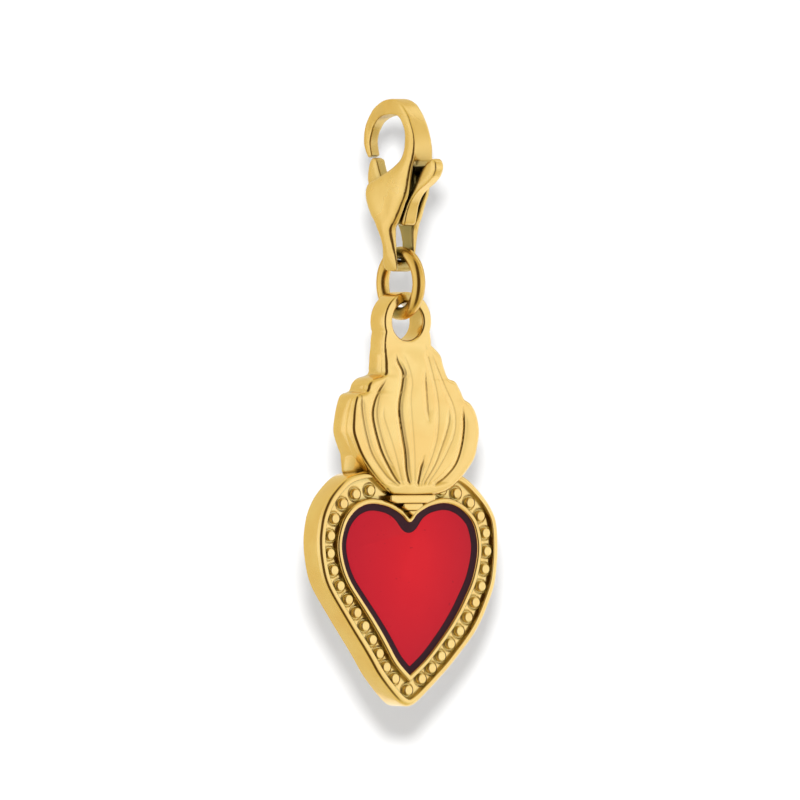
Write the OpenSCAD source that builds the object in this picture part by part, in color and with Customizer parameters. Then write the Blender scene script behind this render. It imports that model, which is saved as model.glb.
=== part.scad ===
// Flaming heart charm: an enamelled heart with a bead border, a flame and a bail,
// hung by a jump ring from a lobster clasp. Millimetres, +Z up, the front faces -Y.
// The origin is the crown of the hook, where the clasp hangs on a link.

/* [Heart] */
// Width of the heart across its side wall
heart_w = 15.4; // [14.4:0.1:18]
// Height of the lobes over the widest level
heart_rise = 4.95; // [4.6:0.05:5.6]
// Depth of the point under the widest level
heart_drop = 11.5; // [10.8:0.1:13]
// Sway of the hand-modelled heart's flanks to one side
heart_sway = 0.5; // [0:0.05:0.6]
// Thickness of the back plate behind the reliefs
plate_t = 1.55; // [1.1:0.05:2]
// Height that the heart's flat back stands proud of the rest
pad_t = 0.1; // [0.05:0.05:0.3]
// Distance of the flat pad's edge past the inner heart's edge
pad_grow = 1.2; // [0.4:0.05:1.4]

/* [Rim and beads] */
// Width of the outer rim
rim_w = 0.5; // [0.4:0.05:0.55]
// Height of the outer rim over the plate
rim_h = 0.42; // [0.3:0.02:0.6]
// Rounding of the rim's outer edge
rim_round = 0.34; // [0.1:0.02:0.38]
// Diameter of a bead
bead_d = 0.75; // [0.6:0.05:0.85]
// Height of a bead over the plate
bead_h = 0.36; // [0.25:0.02:0.5]
// Beads on each side of the one at the point
side_beads = 15; // [6:1:16]
// Distance from the bead at the point to the first one at each side
point_pitch = 1.39; // [1:0.05:1.6]
// Distance of the bead line from the inner heart's edge
bead_line_gap = 0.94; // [0.9:0.02:1]
// Distance of the bead at the point from the inner heart's point
point_gap = 1.06; // [0.9:0.02:1.2]
// Thickness of the strip that carries the beads
strip_t = 0.08; // [0.05:0.01:0.15]

/* [Enamel] */
// Width of the border at the widest level, with the rim and the bezel
border_w = 1.92; // [1.75:0.01:2.2]
// Height of the border over the inner heart's lobes
border_top = 2.31; // [2.1:0.01:2.5]
// Height of the border under the inner heart's point
border_low = 2.34; // [2.1:0.01:2.7]
// Width of the bezel wall
bezel_w = 0.4; // [0.25:0.05:0.45]
// Height of the bezel over the plate
bezel_h = 0.5; // [0.35:0.05:0.7]
// Width of the dark enamel outline
outline_w = 0.45; // [0.3:0.05:0.7]
// Thickness of the dark enamel
outline_t = 0.28; // [0.2:0.02:0.4]
// Thickness of the red enamel
enamel_t = 0.3; // [0.2:0.02:0.4]

/* [Flame] */
// Width of the flame at its belly
flame_w = 10.5; // [9.8:0.1:11.4]
// Distance that the flame leans off the middle
flame_lean = 0.35; // [0:0.05:0.5]
// Margin of the plate round the flame's relief
flame_margin = 0.25; // [0.1:0.05:0.4]
// Distance of the flame's top under the centre of the bail
flame_gap = 1.55; // [1.4:0.05:1.8]
// Height of the flame's base over the heart's widest level
flame_lift = 3.25; // [3.2:0.05:3.6]
// Height of the belly over the plate
belly_h = 1.07; // [0.8:0.05:1.4]
// Depth of the grooves between the tongues
groove_t = 0.2; // [0.1:0.02:0.3]
// Half width of a groove
groove_w = 0.12; // [0.08:0.01:0.16]
// Swelling of each tongue between its grooves
tongue_crown = 0.06; // [0:0.02:0.1]
// Rounding of the flame's outer edge
flame_round = 0.3; // [0.15:0.05:0.4]

/* [Collar] */
// Width of the collar bar under the flame
collar_w = 3.85; // [3:0.05:4.4]
// Height of the collar bar
collar_h = 0.56; // [0.4:0.02:0.6]
// Width of the foot under the collar
foot_w = 1.66; // [1.2:0.05:2]
// Height of the small drop between the foot and the bezel's cleft
drop_h = 0.38; // [0.25:0.01:0.5]
// Height of the collar over the plate
collar_t = 0.85; // [0.6:0.05:1]

/* [Bail] */
// Outer radius of the bail
bail_r = 2.05; // [1.95:0.05:2.4]
// Radius of the bail's hole
bail_hole_r = 1.3; // [1.2:0.01:1.4]
// Thickness of the bail
bail_t = 1.8; // [1.6:0.1:2]
// Height of the bail's centre over the heart's widest level
bail_lift = 15.2; // [15.1:0.1:16]
// Width of the neck under the bail
neck_w = 4.1; // [3.2:0.1:4.1]

/* [Jump ring] */
// Radius of the ring to the middle of its wire
ring_r = 2.1; // [2:0.05:2.4]
// Diameter of the ring's wire
ring_wire_d = 0.9; // [0.7:0.05:1]

/* [Clasp] */
// Height of the clasp
clasp_h = 12; // [11.5:0.1:13]
// Depth of the clasp from the hook's mouth side to its back
clasp_d = 5.87; // [5.5:0.05:6.4]
// Thickness of the clasp at its flare
clasp_t = 3.14; // [3:0.02:3.4]
// Width of the slot between the cheeks
slot_w = 1.37; // [1.25:0.01:1.5]
// Radius of the bar that closes the eye
bar_r = 0.42; // [0.36:0.01:0.46]
// Width of the web that the spring rests on
web_w = 0.6; // [0.4:0.05:0.7]

/* [Trigger] */
// Thickness of the trigger lever
lever_t = 1.15; // [0.95:0.05:1.2]
// Diameter of the rivet
rivet_d = 0.7; // [0.5:0.05:0.8]
// Running clearance of the lever on the rivet
rivet_gap = 0.04; // [0.02:0.01:0.08]
// Outer diameter of the spring
spring_d = 0.7; // [0.5:0.05:0.8]
// Diameter of the spring's bore
spring_bore_d = 0.4; // [0.2:0.05:0.45]
// Gap that keeps the spring's end off the lever's curve
spring_gap = 0.05; // [0.02:0.01:0.1]

/* [Hidden] */
// Overrun of every cut past the face that it opens
cut = 0.5;
// Gap between pieces that hang in each other
hang_gap = 0.03;
// Gap between the gate and the hook's tip
gate_gap = 0.08;
// Steps between two points of a smooth outline
steps = 5;
// Steps of the rim's rounding
rim_steps = 4;
// Facets of round pieces
$fn = 64;

// Depth of the eye's bar as a share of the clasp's height
eye_share = 0.868;

// Places that follow from the sizes
slot_side = slot_w / 2;
bar_z = -eye_share * clasp_h;
ring_z = bar_z + bar_r + hang_gap + ring_wire_d / 2 - ring_r;
wire_z = ring_z - ring_r;
// the ring's inside rises over the thickness of the bail
ring_in_r = ring_r - ring_wire_d / 2;
ring_bend = ring_in_r - sqrt(pow(ring_in_r, 2) - pow(bail_t / 2, 2));
bail_z = wire_z + ring_wire_d / 2 + ring_bend + hang_gap - bail_hole_r;
heart_z = bail_z - bail_lift;
back_y = bail_t / 2;
enamel_w = heart_w - 2 * border_w;
enamel_rise = heart_rise - border_top;
enamel_drop = heart_drop - border_low;
bead_drop = enamel_drop + point_gap;
flame_h = bail_lift - flame_lift - flame_gap;
plate_y = back_y - plate_t;
belly_y = plate_y - belly_h;

// Half outline of the heart from its cleft down to its point
heart_top_shares = [
    [0, 0.95], [0.2, 0.98], [0.38, 1], [0.55, 0.965], [0.68, 0.88], [0.81, 0.71],
    [0.90, 0.545], [0.962, 0.37], [0.99, 0.2]
];
heart_low_shares = [
    [1, 0], [0.99, -0.11], [0.945, -0.25], [0.83, -0.395], [0.687, -0.54], [0.503, -0.69],
    [0.397, -0.774], [0.289, -0.848], [0.165, -0.925], [0.085, -0.968], [0, -1]
];
// Width of the drop as a share of the cleft's width at its top
drop_share = 0.85;
// Half outline of the inner heart
enamel_top_shares = [
    [0, 0.48], [0.11, 0.70], [0.23, 0.85], [0.36, 0.95], [0.53, 1], [0.68, 0.94], [0.82, 0.77],
    [0.94, 0.46]
];
enamel_low_shares = [
    [1, 0], [0.985, -0.13], [0.9, -0.286], [0.748, -0.437], [0.578, -0.587],
    [0.394, -0.738], [0.2, -0.889], [0, -1]
];
// Sway of the heart from its point to its lobes, against its height
sway_shares = [
    [-0.08, -1], [0, -0.92], [0.2, -0.84], [0.4, -0.78], [0.7, -0.705], [1, -0.588],
    [0.96, -0.468],
    [0.64, -0.348], [0.4, -0.267], [0.18, -0.174], [0, 0], [0, 0.12], [-0.18, 0.22],
    [-0.33, 0.28], [-0.5, 0.43]
];
// How much of the sway the inner heart follows
inner_sway_share = 0.8;
// Last bead on each lobe, from the middle, as a share of the inner heart's half width
left_end_share = 0.5;
right_end_share = 0.53;
// How much closer the beads stand at the point than at the lobes, as a share of even steps
crowd_share = 0.08;
// Outlines of the flame, each from its base to its top, with the tips of three tongues a side
flame_left_shares = [
    [-0.311, 0], [-0.399, 0.024], [-0.574, 0.095], [-0.739, 0.177], [-0.875, 0.265],
    [-0.953, 0.344], [-1.001, 0.424], [-0.987, 0.504], [-0.953, 0.583], [-0.889, 0.66],
    [-0.749, 0.69], [-0.705, 0.735], [-0.622, 0.772], [-0.447, 0.8], [-0.423, 0.85],
    [-0.415, 0.92], [-0.406, 1]
];
flame_right_shares = [
    [0.296, 0], [0.581, 0.05], [0.874, 0.21], [0.966, 0.33], [1, 0.435], [0.962, 0.54],
    [0.877, 0.605], [0.781, 0.635], [0.724, 0.69], [0.647, 0.75], [0.534, 0.775], [0.471, 0.85],
    [0.417, 0.93], [0.262, 1]
];
// Shoulder of the plate between the heart's lobe and the flame's belly
shoulder_shares = [
    [0.2, 0.1], [0.8, 0.12], [0.845, 0.16], [0.85, 0.2], [0.86, 0.26], [0.84, 0.32], [0.2, 0.32]
];
// Heights of the flame where its grooves are given
groove_level_shares = [0.06, 0.27, 0.50, 0.73, 0.96];
// Grooves: place at each level as shares of the flame's half width, then start, end and depth
groove_shares = [
    [[-0.309, -0.672, -0.823, -0.874, -0.874], 0.08, 0.67, 0.5],
    [[-0.269, -0.531, -0.672, -0.531, -0.37], 0.06, 0.76, 1],
    [[-0.207, -0.329, -0.48, -0.471, -0.349], 0.10, 0.58, 0.5],
    [[-0.127, -0.177, -0.258, -0.218, -0.289], 0.06, 0.95, 1],
    [[-0.037, -0.037, -0.067, -0.067, -0.188], 0.10, 0.95, 0.5],
    [[0.025, 0.105, 0.186, 0.166, 0.115], 0.06, 0.82, 0.8],
    [[0.074, 0.256, 0.377, 0.317, 0.196], 0.08, 0.97, 0.5],
    [[0.135, 0.377, 0.549, 0.488, 0.297], 0.06, 0.58, 0.7],
    [[0.196, 0.478, 0.64, 0.559, 0.357], 0.10, 0.92, 0.5],
    [[0.276, 0.68, 0.761, 0.66, 0.437], 0.07, 0.57, 1]
];
// Height of the flame's front over the plate from its base to its top, as shares of the belly
belly_shares = [0.66, 0.88, 1, 0.98, 0.88, 0.76, 0.66, 0.57, 0.48];

// Side view of the clasp as shares of its depth, positive towards the nub, and of its height
hook_outer_shares = [
    [-0.562, -0.241], [-0.625, -0.196], [-0.656, -0.144], [-0.62, -0.057], [-0.48, 0.029],
    [-0.25, 0.078], [-0.034, 0.093], [0.13, 0.072], [0.255, 0.020], [0.35, -0.045],
    [0.42, -0.12], [0.443, -0.184], [0.434, -0.25], [0.399, -0.328], [0.329, -0.456],
    [0.267, -0.507], [0.189, -0.577], [0.145, -0.612]
];
cheek_back_shares = [[0.078, -0.652], [0.085, -0.75], [0.105, -0.85], [0.09, -0.893]];
cheek_front_shares = [
    [0, -0.905], [-0.10, -0.900], [-0.16, -0.883], [-0.17, -0.83], [-0.138, -0.744],
    [-0.2, -0.649], [-0.346, -0.566], [-0.42, -0.502], [-0.446, -0.446], [-0.438, -0.409],
    [-0.41, -0.39]
];
hook_inner_shares = [
    [-0.36, -0.383], [-0.17, -0.348], [0.034, -0.306], [0.177, -0.259], [0.24, -0.208],
    [0.25, -0.167], [0.235, -0.10], [0.18, -0.045], [0.09, -0.008], [0, 0], [-0.14, -0.001],
    [-0.30, -0.015], [-0.435, -0.055], [-0.505, -0.112], [-0.528, -0.16], [-0.494, -0.228]
];
// Front view of the clasp: half its thickness as a share of the flare, against its height
clasp_side_shares = [
    [0.40, 0.10], [0.46, 0.05], [0.49, -0.03], [0.52, -0.11], [0.62, -0.20], [0.80, -0.32],
    [0.88, -0.42], [0.91, -0.52], [0.95, -0.60], [1, -0.652]
];
clasp_foot_shares = [[0.92, -0.70], [0.84, -0.75], [0.72, -0.815], [0.56, -0.87], [0.40, -0.91]];
// Side view of the lever in the same shares
lever_outer_shares = [
    [0.13, -0.638], [0.185, -0.625], [0.235, -0.555], [0.29, -0.5], [0.38, -0.455],
    [0.48, -0.425], [0.6, -0.395], [0.72, -0.355]
];
nub_shares = [[0.772, -0.315], [0.76, -0.275], [0.695, -0.25]];
lever_inner_shares = [
    [0.57, -0.283], [0.475, -0.322], [0.385, -0.376], [0.3, -0.43], [0.2, -0.468],
    [0.05, -0.48], [-0.10, -0.452], [-0.22, -0.41], [-0.32, -0.345], [-0.40, -0.26]
];
gate_shares = [
    [-0.47, -0.25], [-0.53, -0.275], [-0.57, -0.33], [-0.57, -0.375], [-0.53, -0.42],
    [-0.44, -0.455], [-0.33, -0.51], [-0.19, -0.572], [-0.05, -0.622]
];
// Front view of the lever: half its thickness as a share of the most, against its height
lever_side_shares = [[0.76, -0.2], [0.78, -0.36], [0.84, -0.46], [1, -0.58], [1, -0.66]];
// Top view of the hook: half its thickness as a share of the flare, against its depth
hook_taper_shares = [[0.26, -0.75], [0.26, -0.6], [0.28, -0.45], [0.62, 0.1], [0.75, 0.6]];
// Height down to which the hook tapers
taper_share = -0.27;
// Side view of the slot's roof, from the lever's side over the web to the gate's side
slot_shares = [
    [0.9, -0.2], [0.46, -0.242], [0.38, -0.295], [0.25, -0.34], [0.1, -0.36], [0, -0.34],
    [-0.06, -0.285],
    [-0.9, -0.285]
];
// Place of the rivet and the web that hangs in the slot
rivet_share = [0.02, -0.552];
web_share = [0.05, -0.445];
spring_share = -0.383;

// One span of a smooth curve through the points
function span(p, k, t) =
    let (
        a = p[max(k - 1, 0)],
        b = p[k],
        c = p[k + 1],
        d = p[min(k + 2, len(p) - 1)]
    )
    0.5 * (2 * b + (c - a) * t + (2 * a - 5 * b + 4 * c - d) * t * t
        + (3 * b - a - 3 * c + d) * t * t * t);

// A smooth curve through all the points, with its last one
function smooth(p, n) = concat(
    [for (k = [0 : len(p) - 2]) for (j = [0 : n - 1]) span(p, k, j / n)],
    [p[len(p) - 1]]
);

function sized(shares, w, h) = [for (s = shares) [s[0] * w, s[1] * h]];
function across(half) = concat(half, [for (k = [len(half) - 1 : -1 : 0]) [-half[k][0], half[k][1]]]);
function mirrored(p) = [for (k = [len(p) - 2 : -1 : 1]) [-p[k][0], p[k][1]]];

// Value of a curve of points at the height z, on straight spans
function at_height(p, z, k = 0) =
    k >= len(p) - 2 || z < p[k + 1][1]
        ? let (f = (z - p[k][1]) / max(p[k + 1][1] - p[k][1], 1e-6)) p[k][0]
            + (p[k + 1][0] - p[k][0]) * min(max(f, 0), 1)
        : at_height(p, z, k + 1);

// Lengths along a curve, and the point at a length
function path_lengths(p) = [
    for (k = 0, s = 0; k < len(p); k = k + 1, s = k < len(p) ? s + norm(p[k] - p[k - 1]) : s) s
];
function at_length(p, lengths, s, k = 0) =
    k >= len(p) - 2 || s < lengths[k + 1]
        ? p[k] + (p[k + 1] - p[k]) * (s - lengths[k]) / (lengths[k + 1] - lengths[k])
        : at_length(p, lengths, s, k + 1);

// Stands an outline up in the plane of the heart, from its back to its front face
module upright(back, front) {
    translate([0, back, heart_z])
        rotate([90, 0, 0])
            linear_extrude(back - front)
                children();
}

// Stands a side view up, centred across the clasp
module sideways(width) {
    rotate([90, 0, 90])
        translate([0, 0, -width / 2])
            linear_extrude(width)
                mirror([1, 0])
                    children();
}

heart_half = concat(
    sized(heart_top_shares, heart_w / 2, heart_rise),
    sized(heart_low_shares, heart_w / 2, heart_drop)
);
enamel_half = concat(
    sized(enamel_top_shares, enamel_w / 2, enamel_rise),
    sized(enamel_low_shares, enamel_w / 2, enamel_drop)
);
function flame_place(s) = [flame_lean + s[0] * flame_w / 2, flame_lift + s[1] * flame_h];
flame_left = [for (s = flame_left_shares) flame_place(s)];
flame_right = [for (s = flame_right_shares) flame_place(s)];

sized_shoulder = [
    for (s = shoulder_shares) [s[0] * flame_w / 2, flame_lift + s[1] * flame_h]
];

sway_curve = smooth(sized(sway_shares, heart_sway, 1), steps);
function swayed(p, drop, share = 1) = [
    for (q = p) [q[0] + share * at_height(sway_curve, q[1] / drop), q[1]]
];

module heart_outline() {
    curve = smooth(heart_half, steps);
    polygon(swayed(concat(curve, mirrored(curve)), heart_drop));
}

module enamel_shape() {
    curve = smooth(enamel_half, steps);
    polygon(swayed(concat(curve, mirrored(curve)), bead_drop, inner_sway_share));
}

module bezel_shape() {
    offset(r = bezel_w)
        enamel_shape();
}

module flame_outline() {
    left = smooth(flame_left, steps);
    polygon(concat(
        smooth(flame_right, steps),
        [for (k = [len(left) - 1 : -1 : 0]) left[k]]
    ));
}

// Strip across the middle from one height down to the next
module band(width, top, height) {
    translate([-width / 2, top - height])
        square([width, height]);
}

// The collar's steps stand on the cleft of the bezel, where its two lobes meet
cleft_run = enamel_top_shares[1][0] * enamel_w / 2;
cleft_rise = (enamel_top_shares[1][1] - enamel_top_shares[0][1]) * enamel_rise;
cleft_slope = cleft_run / cleft_rise;
cleft_z = enamel_top_shares[0][1] * enamel_rise + bezel_w * norm([1, cleft_slope]) / cleft_slope;
drop_w = 2 * drop_share * drop_h * cleft_slope;
drop_top = cleft_z + drop_h;
foot_top = flame_lift - collar_h;
foot_h = foot_top - drop_top;

module bail_outline() {
    translate([0, bail_lift])
        circle(bail_r);
    translate([-neck_w / 2, flame_lift + flame_h])
        square([neck_w, bail_lift - flame_lift - flame_h]);
}

// The plate that carries every relief, with the bail's ring in one piece
module back_plate() {
    color("goldenrod")
        difference() {
            union() {
                upright(back_y, plate_y) {
                    heart_outline();
                    offset(delta = flame_margin)
                        flame_outline();
                    polygon(across(sized_shoulder));
                }
                difference() {
                    upright(back_y, -back_y)
                        bail_outline();
                    // the flame's top lies over the bail's foot
                    upright(plate_y, -back_y - cut)
                        flame_outline();
                }
                upright(back_y + pad_t, back_y - cut)
                    offset(r = pad_grow)
                        enamel_shape();
            }
            translate([0, back_y + cut, bail_z])
                rotate([90, 0, 0])
                    cylinder(r = bail_hole_r, h = bail_t + 2 * cut);
        }
}

module outer_rim() {
    color("gold")
        for (k = [1 : rim_steps])
            upright(plate_y, plate_y - rim_h + rim_round * (1 - sin(90 * k / rim_steps)))
                rim_ring(rim_round * (1 - cos(90 * (k - 0.5) / rim_steps)));
}

module rim_ring(inset) {
    difference() {
        offset(delta = -inset)
            heart_outline();
        offset(delta = -rim_w)
            heart_outline();
        flame_outline();
    }
}

// The bead line runs outside the inner heart, from the point up to the lobe
enamel_curve = smooth(enamel_half, steps);
function bead_side(end_share) = [
    for (k = [len(enamel_curve) - 2 : -1 : 1])
        let (
            along = enamel_curve[k + 1] - enamel_curve[k - 1],
            out = bead_line_gap * [-along[1], along[0]] / norm(along),
            spot = enamel_curve[k] + out,
            last = spot[1] < 0 ? bead_d : end_share * enamel_w / 2
        )
        if (spot[0] > last) spot
];
// The beads of a side, from beside the point up to the end of its line
function bead_spots(path) =
    let (
        lengths = path_lengths(path),
        room = lengths[len(path) - 1] - point_pitch
    )
    [
        for (n = [0 : side_beads - 1])
            let (f = n / (side_beads - 1))
            at_length(path, lengths, point_pitch + room * f * (1 - crowd_share * (1 - f)))
    ];
point_bead = [0, -bead_drop];
right_path = swayed(concat([point_bead], bead_side(right_end_share)), bead_drop);
left_path = swayed(
    concat([point_bead], [for (q = bead_side(left_end_share)) [-q[0], q[1]]]), bead_drop
);

module bead(spot) {
    translate([spot[0], plate_y, heart_z + spot[1]])
        rotate([90, 0, 0])
            intersection() {
                sphere(d = bead_d);
                cylinder(d = bead_d + cut, h = bead_h);
            }
}

// A strip that fills the channel, with its beads on it
module bead_border() {
    color("khaki") {
        upright(plate_y, plate_y - strip_t)
            difference() {
                offset(delta = -rim_w)
                    heart_outline();
                bezel_shape();
                flame_outline();
                band(collar_w, flame_lift, collar_h + foot_h + drop_h + bezel_w);
            }
        difference() {
            for (spot = concat([right_path[0]], bead_spots(right_path), bead_spots(left_path)))
                bead(spot);
            upright(plate_y + cut, plate_y - bead_h - cut)
                flame_outline();
        }
    }
}

module inner_bezel() {
    color("gold")
        upright(plate_y, plate_y - bezel_h)
            difference() {
                bezel_shape();
                enamel_shape();
            }
}

module enamel_outline() {
    color("maroon")
        upright(plate_y, plate_y - outline_t)
            difference() {
                enamel_shape();
                offset(r = -outline_w)
                    enamel_shape();
            }
}

module enamel_heart() {
    color("crimson")
        upright(plate_y, plate_y - enamel_t)
            offset(r = -outline_w)
                enamel_shape();
}

// One stepped piece under the flame, cut where the bezel's lobes meet it
module collar_piece(width, top, height) {
    upright(plate_y, plate_y - collar_t)
        difference() {
            band(width, top, height);
            bezel_shape();
        }
}

module flame_collar() {
    color("gold")
        collar_piece(collar_w, flame_lift, collar_h);
}

module collar_foot() {
    color("goldenrod")
        collar_piece(foot_w, foot_top, foot_h);
}

module collar_drop() {
    color("gold")
        collar_piece(drop_w, drop_top, drop_h);
}

// The flame's front as rows of points: each row runs from the left edge over the grooves
flame_rows = 40;
groove_points = 4;
// How far a groove's ends fade, as a share of the flame's height
fade_share = 0.08;
// How much lower the flame's flanks are than its middle
flank_share = 0.22;
// Place of the middle point of the rounded edge
round_share = 0.3;
flame_left_curve = smooth(flame_left, steps);
flame_right_curve = smooth(flame_right, steps);
groove_levels = [for (s = groove_level_shares) flame_lift + s * flame_h];
belly_levels = [
    for (k = [0 : len(belly_shares) - 1])
        [belly_shares[k] * belly_h, flame_lift + k / (len(belly_shares) - 1) * flame_h]
];

function groove_track(g) = [
    for (k = [0 : len(groove_levels) - 1]) [flame_lean + g[0][k] * flame_w / 2, groove_levels[k]]
];
function groove_x(g, z) = at_height(smooth(groove_track(g), steps), z);
function groove_depth(g, z) =
    let (
        s = (z - flame_lift) / flame_h,
        rise = min(max((s - g[1]) / fade_share, 0), 1),
        fall = min(max((g[2] - s) / fade_share, 0), 1)
    )
    g[3] * groove_t * rise * fall;

// Front height over the plate without grooves
function front_h(x, z, left, right) =
    let (
        middle = (left + right) / 2,
        off = (x - middle) / max((right - left) / 2, groove_w)
    )
    at_height(smooth(belly_levels, steps), z) * (1 - flank_share * off * off);

function flame_row(z) =
    let (
        left = at_height(flame_left_curve, z),
        right = at_height(flame_right_curve, z),
        inner_left = left + flame_round,
        inner_right = right - flame_round,
        count = len(groove_shares),
        room = (inner_right - inner_left) / (groove_points * count),
        x = [
            for (k = [0 : count - 1])
                min(
                    max(groove_x(groove_shares[k], z), inner_left + (groove_points * k + 2) * room / 2),
                    inner_right - (groove_points * (count - 1 - k) + 2) * room / 2
                )
        ],
        free = [
            for (k = [0 : count - 1])
                abs(x[k] - groove_x(groove_shares[k], z)) < groove_w ? 1 : 0
        ],
        side = min(groove_w, room / 2)
    )
    concat(
        [
            [left, 0],
            [left, front_h(left, z, left, right) - flame_round],
            [
                left + round_share * flame_round,
                front_h(left, z, left, right) - round_share * flame_round
            ],
            [inner_left, front_h(inner_left, z, left, right)]
        ],
        [
            for (k = [0 : count - 1])
                let (
                    from = k == 0 ? inner_left : x[k - 1],
                    h = front_h(x[k], z, left, right),
                    crown = front_h((from + x[k]) / 2, z, left, right) + tongue_crown
                )
                each [
                    [(from + x[k]) / 2, crown],
                    [x[k] - side, h],
                    [x[k], h - free[k] * groove_depth(groove_shares[k], z)],
                    [x[k] + side, h]
                ]
        ],
        [
            [
                (x[count - 1] + inner_right) / 2,
                front_h(inner_right, z, left, right) + tongue_crown
            ],
            [inner_right, front_h(inner_right, z, left, right)],
            [
                right - round_share * flame_round,
                front_h(right, z, left, right) - round_share * flame_round
            ],
            [right, front_h(right, z, left, right) - flame_round],
            [right, 0]
        ]
    );

module flame_relief() {
    heights = [
        for (k = [0 : flame_rows]) flame_lift + k / flame_rows * flame_h
    ];
    rows = [for (z = heights) flame_row(z)];
    n = len(rows[0]);
    points = [
        for (k = [0 : flame_rows]) for (p = rows[k])
            [p[0], plate_y - p[1], heart_z + heights[k]]
    ];
    fronts = [
        for (k = [0 : flame_rows - 1]) for (j = [0 : n - 2])
            each [
                [k * n + j, k * n + j + 1, (k + 1) * n + j + 1],
                [k * n + j, (k + 1) * n + j + 1, (k + 1) * n + j]
            ]
    ];
    backs = [
        for (k = [0 : flame_rows - 1])
            each [
                [k * n, (k + 1) * n, (k + 1) * n + n - 1],
                [k * n, (k + 1) * n + n - 1, k * n + n - 1]
            ]
    ];
    base = [[for (j = [n - 1 : -1 : 0]) j]];
    top = [[for (j = [0 : n - 1]) flame_rows * n + j]];
    color("gold")
        polyhedron(points, [
            for (f = concat(fronts, backs, base, top)) [for (k = [len(f) - 1 : -1 : 0]) f[k]]
        ]);
}

module jump_ring() {
    color("orange")
        translate([0, 0, ring_z])
            rotate([0, 90, 0])
                rotate_extrude()
                    translate([ring_r, 0])
                        circle(d = ring_wire_d);
}

function clasp_curve(shares) = smooth(sized(shares, clasp_d, clasp_h), steps);
rivet_at = [rivet_share[0] * clasp_d, rivet_share[1] * clasp_h];
flare_z = clasp_side_shares[len(clasp_side_shares) - 1][1] * clasp_h;

// Side view of the clasp, with u positive towards the nub
module clasp_side() {
    polygon(concat(
        clasp_curve(hook_outer_shares),
        clasp_curve(cheek_back_shares),
        clasp_curve(cheek_front_shares),
        clasp_curve(hook_inner_shares)
    ));
}

// Front view of the clasp
module clasp_front() {
    half = concat(
        smooth(sized(clasp_side_shares, clasp_t / 2, clasp_h), steps),
        smooth(sized(clasp_foot_shares, clasp_t / 2, clasp_h), steps)
    );
    polygon(across(half));
}

// Cuts the hook's mouth side down to its thin tip, and leaves the cheeks whole
module hook_taper() {
    translate([0, 0, taper_share * clasp_h])
        linear_extrude(clasp_h)
            difference() {
                translate([-clasp_t, -clasp_d])
                    square([2 * clasp_t, 2 * clasp_d]);
                mirror([0, 1])
                    polygon(across(smooth(sized(hook_taper_shares, clasp_t / 2, clasp_d), steps)));
            }
}

module rivet_hole(r, length) {
    translate([-length / 2, -rivet_at[0], rivet_at[1]])
        rotate([0, 90, 0])
            cylinder(r = r, h = length);
}

// Reach of the gate's end from the rivet
gate_end = [lever_inner_shares[9][0] * clasp_d, lever_inner_shares[9][1] * clasp_h];
gate_reach = max([for (p = sized(gate_shares, clasp_d, clasp_h)) norm(p - rivet_at)]);

module clasp_body() {
    color("darkgoldenrod") {
        difference() {
            intersection() {
                sideways(clasp_t)
                    clasp_side();
                translate([0, clasp_d, 0])
                    rotate([90, 0, 0])
                        linear_extrude(2 * clasp_d)
                            clasp_front();
            }
            hook_taper();
            // slot for the lever and window of the eye, down past the cheeks' feet
            difference() {
                sideways(slot_w)
                    polygon(concat(
                        sized(slot_shares, clasp_d, clasp_h),
                        [[-clasp_d, -clasp_h], [clasp_d, -clasp_h]]
                    ));
                spring_web();
            }
            rivet_hole(rivet_d / 2, clasp_t + cut);
            // the gate's end swings clear of the hook's tip
            intersection() {
                rivet_hole(gate_reach + gate_gap, slot_w);
                translate([-slot_side, -gate_end[0], -clasp_h])
                    cube([slot_w, clasp_d, clasp_h]);
            }
        }
        eye_bar();
    }
}

module eye_bar() {
    translate([-slot_side, 0, bar_z])
        rotate([0, 90, 0])
            cylinder(r = bar_r, h = slot_w);
}

module spring_web() {
    translate([-slot_side - cut, -web_share[0] * clasp_d - web_w, web_share[1] * clasp_h])
        cube([slot_w + 2 * cut, web_w, (slot_shares[5][1] - web_share[1]) * clasp_h + cut]);
}

module trigger_lever() {
    color("sandybrown")
        difference() {
            intersection() {
                sideways(lever_t)
                    polygon(concat(
                        clasp_curve(lever_outer_shares),
                        clasp_curve(nub_shares),
                        clasp_curve(lever_inner_shares),
                        clasp_curve(gate_shares)
                    ));
                translate([0, clasp_d, 0])
                    rotate([90, 0, 0])
                        linear_extrude(2 * clasp_d)
                            polygon(across(sized(lever_side_shares, lever_t / 2, clasp_h)));
            }
            rivet_hole(rivet_d / 2 + rivet_gap, lever_t + cut);
        }
}

module trigger_rivet() {
    color("dimgray")
        intersection() {
            rivet_hole(rivet_d / 2, clasp_t);
            translate([0, clasp_d, 0])
                rotate([90, 0, 0])
                    linear_extrude(2 * clasp_d)
                        clasp_front();
        }
}

spring_z = spring_share * clasp_h;
spring_end = -web_share[0] * clasp_d;
spring_start = -spring_gap - at_height(
    [for (k = [4 : 9]) [lever_inner_shares[k][0] * clasp_d, lever_inner_shares[k][1] * clasp_h]],
    spring_z - spring_d / 2
);

module trigger_spring() {
    color("silver")
        translate([0, spring_start, spring_z])
            rotate([90, 0, 0])
                difference() {
                    cylinder(d = spring_d, h = spring_start - spring_end);
                    translate([0, 0, -cut])
                        cylinder(d = spring_bore_d, h = spring_start - spring_end + 2 * cut);
                }
}

clasp_body();
trigger_lever();
trigger_rivet();
trigger_spring();
jump_ring();
back_plate();
outer_rim();
bead_border();
inner_bezel();
enamel_outline();
enamel_heart();
flame_relief();
flame_collar();
collar_foot();
collar_drop();
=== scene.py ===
import math

import bmesh
import bpy
import numpy as np
from mathutils import Matrix, Vector
from mathutils.kdtree import KDTree


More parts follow.
